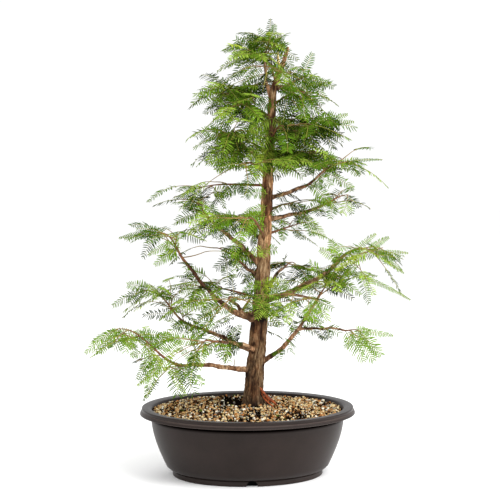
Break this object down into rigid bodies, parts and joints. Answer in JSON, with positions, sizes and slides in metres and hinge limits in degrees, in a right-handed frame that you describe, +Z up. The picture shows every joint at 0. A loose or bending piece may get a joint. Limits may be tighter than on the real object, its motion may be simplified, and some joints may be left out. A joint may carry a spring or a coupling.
{
  "type": "dawn redwood bonsai in an oval training pot",
  "caption": "Young dawn redwood grown as a bonsai: leaning tapered trunk, arching boughs and feathery needle sprays, in grit in an oval brown plastic pot.",
  "frame": {"origin": "on the ground, under the middle of the pot and of the whole part", "axes": "+Z up along the trunk, +X to the right along the pot's long side, -Y towards the viewer"},
  "size_m": [0.487, 0.3979, 0.6807],
  "materials": {
    "pot_plastic": "satin brown plastic",
    "grit": "loose mixed tan and grey grit",
    "bark": "fibrous reddish-tan bark in vertical ridges",
    "foliage": "soft flat needles in feathery sprays"
  },
  "bodies": {
    "root": {"arched_right_bough": "bark", "arched_right_foliage": "foliage", "back_left_bough": "bark", "back_left_foliage": "foliage", "back_low_bough": "bark", "back_low_foliage": "foliage", "back_right_bough": "bark", "back_right_foliage": "foliage", "crown_foliage_1": "foliage", "crown_foliage_2": "foliage", "crown_foliage_3": "foliage", "crown_foliage_4": "foliage", "crown_foliage_5": "foliage", "crown_foliage_6": "foliage", "crown_foliage_7": "foliage", "crown_foliage_8": "foliage", "crown_foliage_9": "foliage", "crown_left_bough": "bark", "crown_left_foliage": "foliage", "crown_right_bough": "bark", "crown_right_foliage": "foliage", "elbow_bough": "bark", "elbow_front_bough": "bark", "elbow_front_foliage": "foliage", "elbow_left_bough": "bark", "elbow_left_foliage": "foliage", "front_high_foliage": "foliage", "front_low_bough": "bark", "front_low_foliage": "foliage", "front_right_foliage": "foliage", "grit": "grit", "high_right_bough": "bark", "high_right_foliage": "foliage", "inner_left_foliage": "foliage", "inner_right_foliage": "foliage", "long_left_bough": "bark", "long_left_foliage": "foliage", "low_left_bough": "bark", "low_left_foliage": "foliage", "low_right_bough": "bark", "low_right_foliage": "foliage", "low_right_side_bough": "bark", "low_right_side_foliage": "foliage", "main_right_bough": "bark", "main_right_foliage": "foliage", "middle_left_bough": "bark", "middle_left_foliage": "foliage", "pot": "pot_plastic", "second_leader": "bark", "second_left_bough": "bark", "second_left_foliage": "foliage", "short_right_foliage": "foliage", "thin_left_foliage": "foliage", "top_foliage": "foliage", "top_left_foliage": "foliage", "top_right_bough": "bark", "top_right_foliage": "foliage", "trunk": "bark", "upper_left_bough": "bark", "upper_left_foliage": "foliage"}
  },
  "joints": []
}
